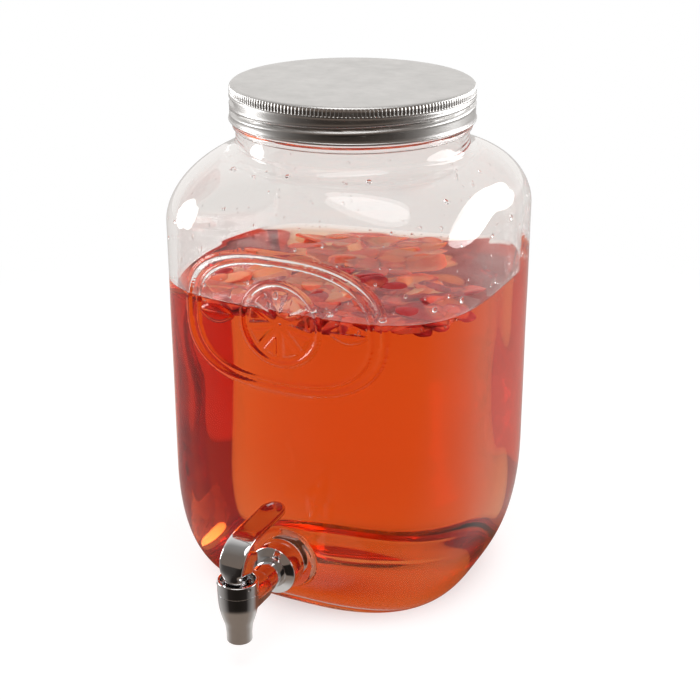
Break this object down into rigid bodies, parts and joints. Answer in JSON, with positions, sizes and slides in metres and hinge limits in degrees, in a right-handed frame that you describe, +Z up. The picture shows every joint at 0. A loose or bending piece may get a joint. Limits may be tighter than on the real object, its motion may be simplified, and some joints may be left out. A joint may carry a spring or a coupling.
{
  "type": "glass drink dispenser jar",
  "caption": "Rounded-square glass drink dispenser with a metal screw lid and a chromed lever tap low on its front; lifting the lever opens a spring-closed valve.",
  "frame": {"origin": "on the jar's upright axis, at the level of its foot ring", "axes": "+Z up through the lid, -Y towards the tap"},
  "size_m": [0.204, 0.267, 0.321],
  "materials": {
    "clear_glass": "clear pressed glass with a slightly wavy surface",
    "lid_metal": "satin tinplate, finely knurled at the top edge",
    "liner_foam": "white foam disc",
    "tap_chrome": "bright chrome plate",
    "pin_steel": "plain stainless steel",
    "stem_plastic": "white moulded plastic",
    "seal_rubber": "translucent white silicone",
    "nut_plastic": "white moulded plastic"
  },
  "bodies": {
    "jar": {"glass_jar": "clear_glass", "outer_gasket": "seal_rubber", "tap_flange": "tap_chrome", "tap_shank": "tap_chrome", "shank_oring": "seal_rubber", "spout_body": "tap_chrome", "bonnet": "tap_chrome", "bonnet_oring": "seal_rubber", "stem_oring": "seal_rubber", "stem_spring": "pin_steel", "lever_pin": "pin_steel", "inner_gasket": "seal_rubber", "backing_washer": "pin_steel", "lock_nut": "nut_plastic"},
    "liner": {"lid_liner": "liner_foam"},
    "lid": {"lid_cap": "lid_metal"},
    "lever": {"lever_handle": "tap_chrome", "crank_pin": "pin_steel"},
    "stem": {"valve_stem": "stem_plastic", "valve_plug": "seal_rubber"}
  },
  "joints": [
    {"name": "lid_rise", "type": "slide", "parent": "jar", "child": "liner", "axis": [0, 0, 1], "range_m": [0, 0.0301]},
    {"name": "lid_turn", "type": "hinge", "parent": "liner", "child": "lid", "pos_m": [0, 0, 0.321], "axis": [0, 0, 1], "range_deg": [0, 900]},
    {"name": "lever_tilt", "type": "hinge", "parent": "jar", "child": "lever", "pos_m": [0, -0.1615, 0.0563], "axis": [1, 0, 0], "range_deg": [0, 25], "stiffness_Nm_per_rad": 0.4, "springref_deg": -14.32},
    {"name": "stem_lift", "type": "slide", "parent": "jar", "child": "stem", "axis": [0, 0, 1], "range_m": [0, 0.0025], "deforming": ["stem_spring"]}
  ],
  "couplings": [
    {"joint": "lid_rise", "follows": "lid_turn", "m_per_rad": 0.0019099},
    {"joint": "stem_lift", "follows": "lever_tilt", "m_per_rad": 0.0054565}
  ]
}
